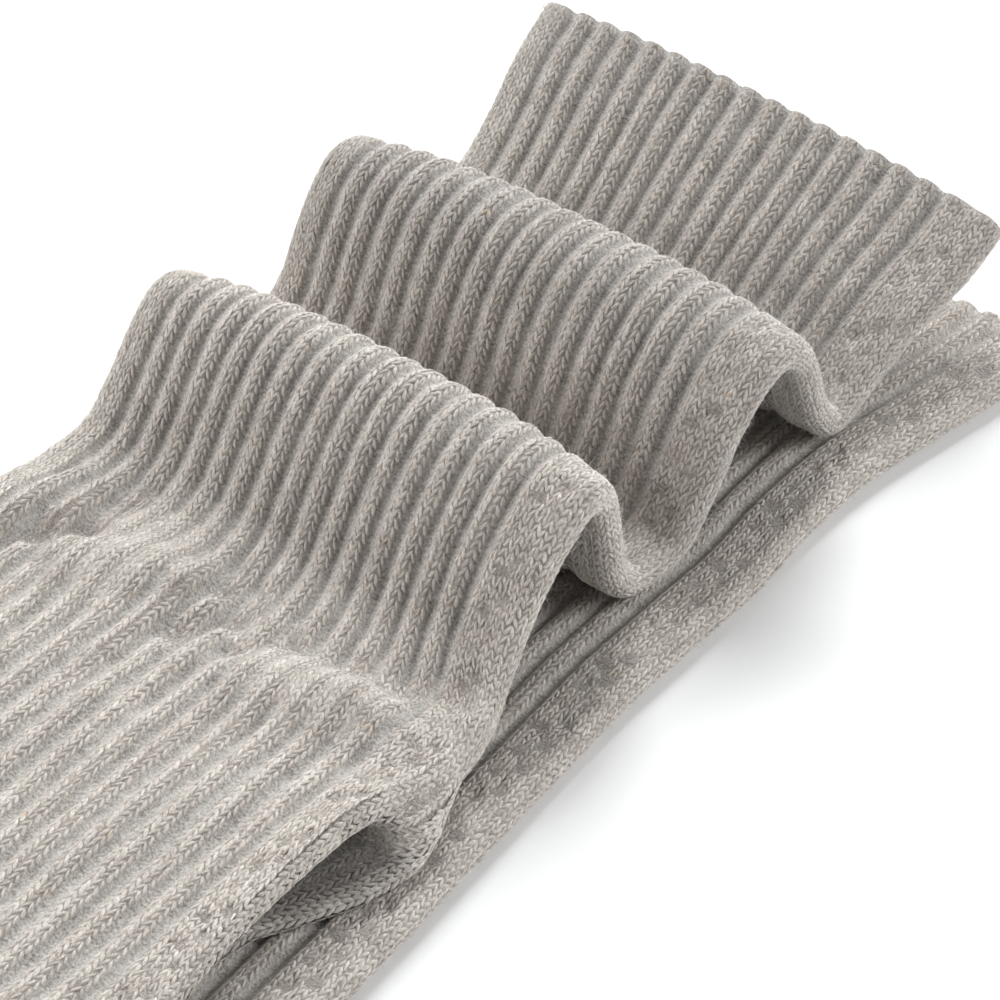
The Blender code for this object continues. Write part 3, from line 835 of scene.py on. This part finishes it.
bandLap = 1.25  # the plain bands' stitches reach this far over the ribs' first space, mm
endGap = 0.3  # the stitches stop this far inside the cuff's edge, mm
upper = {
    "underFrom": -52.0,  # along, where the underside's ribs start
    "ringStep": 1.75,  # mm from one ring of points to the next
    "coveredTo": 5.0,
    "starts": [0.0, 95.0, 180.0, 262.0, 340.0],  # mm along the cloth where its pieces of stitches start
    "wavesFrom": -36.0,  # along; from here on the underside shows
    "underRibs": 4,  # ribs of it that have stitches
    "leftStop": 0.5,  # mm short of the left fold's end, where plain stitches stop
}
lower = {
    "wale": 1.42,
    "course": 1.38,
    "ringStep": 3.0,
    "coveredTo": 3.0,
    "ribs": 5,  # ribs beside its plain band that can be in view
    "foldStop": 1.3,  # mm round the right fold where the stitches end, just above the floor
}

upperTube = FlatTube(upperRows, heelPleat, foot, upperCreases, upperFlats, ribUnderFrom=upper["underFrom"])
lowerTube = FlatTube(lowerRows, onFloor=True)
lowerTube.wale, lowerTube.course = lower["wale"], lower["course"]

bandEdge = ribStart + bandLap
ribMiddles = ribStart + pitch * np.arange(1, knit["ribs"])
spaceMiddles = ribMiddles + 0.5 * pitch
underEdge = -knit["rightBand"]
underMiddles = underEdge - pitch * np.arange(1, upper["underRibs"] + 1)
upperGround = groundPiece("upper_sock_cloth", upperTube, upper["ringStep"], upper["coveredTo"])
waveStart = upperTube.distanceAt(upper["wavesFrom"])
cuts = [*upper["starts"], upperTube.length - endGap]
leftStop = zoneEnds[5] - upper["leftStop"]
chance = np.random.default_rng(21)
for number, (start, stop) in enumerate(zip(cuts[:-1], cuts[1:]), 1):
    groups = ribColumns(upperTube, ribMiddles, start, stop, chance)
    groups += plainColumns(upperTube, zoneEnds[3] - bandLap, leftStop, start, stop, chance)
    groups += plainColumns(upperTube, bandEdge, underEdge, start, stop, chance)
    groups += flatColumns(upperTube, spaceMiddles, start, stop, chance)
    if stop > waveStart:
        groups += ribColumns(upperTube, underMiddles, max(start, waveStart), stop, chance)
    stitchPiece(f"upper_stitches_{number}", groups)

lowerGround = groundPiece("lower_sock_cloth", lowerTube, lower["ringStep"], lower["coveredTo"])
lowerEnd = lowerTube.length - endGap
groups = ribColumns(lowerTube, ribMiddles[: lower["ribs"]], 0.0, lowerEnd, chance)
groups += plainColumns(lowerTube, bandEdge, lower["foldStop"], 0.0, lowerEnd, chance)
lowerStitches = [stitchPiece("lower_stitches", groups)]
print("stage: socks knitted")

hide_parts("upper_sock")
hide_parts("lower_sock")

toes = {
    "share": [0.28, 0.19, 0.18, 0.175, 0.175],  # of the toe line, from the big toe
    "length": [35.0, 33.0, 30.0, 26.0, 22.0],
    "gap": 1.2,  # from root to root
    "wider": 0.8,  # the soft cloth fills this much of the gap
    "lean": 0.06,  # sideways for each mm of length, at the outermost
    "stations": [(0, 0.6, 7), (0.66, 0.995, 12)],  # shares of the length: first, last, count
    "sides": 32,
    "corners": (0.6, 0.8),  # powers of the section's width and height, lower is squarer
    "thickness": 1.2,
    "roundFrom": 0.45,  # share of the length where the tip starts to round off
    "roundPower": 2.2,
    "tip": (0.04, 0.45),  # shares of the width and the height left at the tip
    "thinTip": 0.3,  # share of the thickness left at the tip's sides
    "taller": 0.3,  # half height beyond the sock's, and how much higher the middle is
    "rootGap": 0.05,
}


def toePiece(name, node, tube, root, tipShift, width, length):
    line = tube.rows[0]
    stations = np.concatenate([np.linspace(*run) for run in toes["stations"]])
    turns = 2 * math.pi * np.arange(toes["sides"]) / toes["sides"]
    cornerPower, crownPower = toes["corners"]
    corner = np.sign(np.cos(turns)) * np.abs(np.cos(turns)) ** cornerPower
    crown = np.sign(np.sin(turns)) * np.abs(np.sin(turns)) ** crownPower
    tipWidth, tipHeight = toes["tip"]
    rounding = np.maximum(stations - toes["roundFrom"], 0) / (1 - toes["roundFrom"])
    full = (1 - rounding ** toes["roundPower"]) ** 0.5
    rings = []
    for inset in (0.0, toes["thickness"]):
        thinned = inset * (toes["thinTip"] + (1 - toes["thinTip"]) * full)
        half = width / 2 * (full + (1 - full) * tipWidth) - thinned
        tall = (knit["base"] + toes["taller"] - inset) * (full + (1 - full) * tipHeight)
        across = root + tipShift * stations[:, None] + half[:, None] * corner[None]
        share = ((across - line[5]) / line[4] + 1) / 2
        start = line[0] + (line[2] - line[0]) * share - toes["rootGap"]
        along = start - ((length - inset) * stations)[:, None]
        rings.append(np.stack([across, along, line[1] + toes["taller"] + tall[:, None] * crown[None]], -1))
    outer, inner = rings
    columns, rows = len(turns), len(stations)
    points = np.concatenate([outer.reshape(-1, 3), inner.reshape(-1, 3)])
    faces = []
    for base, turned in ((0, True), (rows * columns, False)):
        for r in range(rows - 1):
            for c in range(columns):
                a, b = base + r * columns + c, base + r * columns + (c + 1) % columns
                face = (a, b, b + columns, a + columns)
                faces.append(face if turned else face[::-1])
        tip = tuple(base + (rows - 1) * columns + c for c in range(columns))
        faces.append(tip if turned else tip[::-1])
    for c in range(columns):
        a, b = c, (c + 1) % columns
        faces.append((b, a, rows * columns + a, rows * columns + b))
    wide = np.broadcast_to((turns / math.pi * width / knit["wale"])[None], (rows, columns))
    deep = np.broadcast_to((stations * length / knit["course"])[:, None], (rows, columns))
    uv = np.stack([wide, -deep], -1).reshape(-1, 2)
    piece = newPiece(name, points, faces, [looks["plain"]], ("wales", np.concatenate([uv, uv])))
    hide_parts(node)
    2 * width * mm


for sock, tube, bigSide in (("upper", upperTube, 1), ("lower", lowerTube, -1)):
    half, middle = tube.rows[0][4], tube.rows[0][5]
    toeLine = 2 * half - toes["gap"]
    used = 0.0
    for number, (share, length) in enumerate(zip(toes["share"], toes["length"]), 1):
        centre = toeLine / 2 - (used + share / 2) * toeLine
        used += share
        lean = toes["lean"] * length * centre / half
        width = share * toeLine - toes["gap"] + toes["wider"]
        node = f"{sock}_toe_{number}"
        toePiece(node + "_cloth", node, tube, middle + bigSide * centre, bigSide * lean, width, length)
print("stage: toes knitted")

fuzz = {
    "radius": 0.03,
    "bend": 0.45,
    "root": 0.08,  # mm over the ground
    "rise": (0.15, 0.9),  # least and most that a fibre points out of the cloth
    "rings": [(0.0, 1.0), (0.5, 0.8)],  # share of the length, and of the radius there
    "lowest": 0.1,  # mm over the floor
}


# each drift of fibres: their count, and ranges of mm round the ring, mm along the cloth and length
def fuzzPiece(name, tube, seed, drifts):
    chance = np.random.default_rng(seed)
    around = np.concatenate([chance.uniform(*drift[1], drift[0]) for drift in drifts])
    along = np.concatenate([chance.uniform(*drift[2], drift[0]) for drift in drifts])
    length = np.concatenate([chance.uniform(*drift[3], drift[0]) for drift in drifts])[:, None]
    code, count = codeAt(around), len(around)
    place = tube.placeAt(along)
    ground = tube.ground(place, code)
    root = tube.point(place, code, ground + fuzz["root"])
    out = unit(tube.point(place, code, ground + fuzz["root"] + 1) - root)
    lean = chance.standard_normal((count, 3))
    way = unit(out * chance.uniform(*fuzz["rise"], count)[:, None] + unit(lean))
    curl = chance.standard_normal((count, 3)) * fuzz["bend"]
    side = unit(np.cross(way, lean))
    other = np.cross(way, side)
    points = []
    for share, width in fuzz["rings"]:
        middle = root + way * length * share + curl * length * share**2
        for turn in (0, 2 * math.pi / 3, 4 * math.pi / 3):
            points.append(middle + fuzz["radius"] * width * (math.cos(turn) * side + math.sin(turn) * other))
    points.append(root + way * length + curl * length)
    points = np.stack(points, 1)
    points[..., 2] = np.maximum(points[..., 2], fuzz["lowest"])
    faces = [(0, 1, 4, 3), (1, 2, 5, 4), (2, 0, 3, 5), (3, 4, 6), (4, 5, 6), (5, 3, 6)]
    allFaces = [tuple(7 * i + n for n in face) for i in range(count) for face in faces]
    newPiece(name, points.reshape(-1, 3), allFaces, [looks["fuzz"]])


topRound = (0.5, zoneEnds[5])
fuzzPiece("upper_fuzz", upperTube, 61, [
    (9000, topRound, (150.0, upperTube.length), (0.4, 1.1)),
    (1500, (-3.0, 14.0), (150.0, upperTube.length), (0.6, 2.0)),
    (700, topRound, (upperTube.length - 3.0, upperTube.length), (0.6, 1.6)),
])
fuzzPiece("lower_fuzz", lowerTube, 62, [(1500, (2.0, 20.0), (150.0, lowerTube.length), (0.4, 1.2))])
print("stage: loose fibres")

view = {
    "turn": 38.5,  # degrees
    "tilt": 39.3,
    "scale": 6.9,  # pixels for each mm at the middle
    "pixels": 1000,  # across the picture
    "distance": 650.0,
    "shiftX": 12.6,
    "shiftY": 2.0,
    "sensor": 36,
    "clip": (0.01, 20),  # metres
}


def addCamera():
    turn, tilt = math.radians(view["turn"]), math.radians(view["tilt"])
    right = Vector((math.cos(turn), math.sin(turn), 0))
    ahead = Vector((-math.sin(turn) * math.cos(tilt), math.cos(turn) * math.cos(tilt), -math.sin(tilt)))
    up = right.cross(ahead)
    place = right * view["shiftX"] + up * view["shiftY"] - ahead * view["distance"] - Vector(tableOrigin)
    camera = bpy.data.objects.new("camera", bpy.data.cameras.new("camera"))
    camera.data.sensor_width = view["sensor"]
    camera.data.lens = view["sensor"] * view["scale"] * view["distance"] / view["pixels"]
    camera.data.clip_start, camera.data.clip_end = view["clip"]
    camera.matrix_world = Matrix.Translation(place * mm) @ Matrix((right, up, -ahead)).transposed().to_4x4()
    bpy.context.scene.collection.objects.link(camera)
    bpy.context.scene.camera = camera


room = {
    "floorSize": 12,  # metres
    "sky": 0.19,
    "target": (0, 0.08, 0),  # where every light points, metres
}
white, cool = (1.0, 1.0, 1.0), (0.975, 0.99, 1.0)
lights = {  # place, size, power, colour
    "window": ((-0.80, 1.15, 1.30), 0.9, 23.0, cool),
    "back_right": ((1.20, 0.90, 0.80), 1.0, 17.5, cool),
    "back_low": ((-0.50, 1.60, 0.55), 1.0, 12.0, cool),
    "front": ((-1.15, -0.85, 0.80), 1.0, 18.5, white),
}


def addLight(name, place, size, power, colour):
    light = bpy.data.objects.new(name, bpy.data.lights.new(name, "AREA"))
    light.data.shape, light.data.size = "DISK", size
    light.data.energy, light.data.color = power, colour
    light.location = place
    light.rotation_euler = (Vector(room["target"]) - Vector(place)).to_track_quat("-Z", "Y").to_euler()
    bpy.context.scene.collection.objects.link(light)


def addStage():
    bpy.ops.mesh.primitive_plane_add(size=room["floorSize"], location=(0, 0, 0))
    floor = bpy.context.object
    floor.name = "floor"
    look = Look("pale_floor", 0.8, 0.0)
    grain = look.noise(look.places(), 40.0, 2.0)
    look.set(Base_Color=look.ramp(grain, (0.3, (0.93, 0.93, 0.93)), (0.7, (0.95, 0.95, 0.95))))
    floor.data.materials.append(look.material)
    world = bpy.data.worlds.new("soft_room")
    bpy.context.scene.world = world
    world.use_nodes = True
    background = world.node_tree.nodes["Background"]
    background.inputs["Color"].default_value = (*white, 1.0)
    background.inputs["Strength"].default_value = room["sky"]
    for name, settings in lights.items():
        addLight(name, *settings)
    bpy.context.scene.view_settings.view_transform = "Standard"


addCamera()
addStage()
print("stage: camera and light")
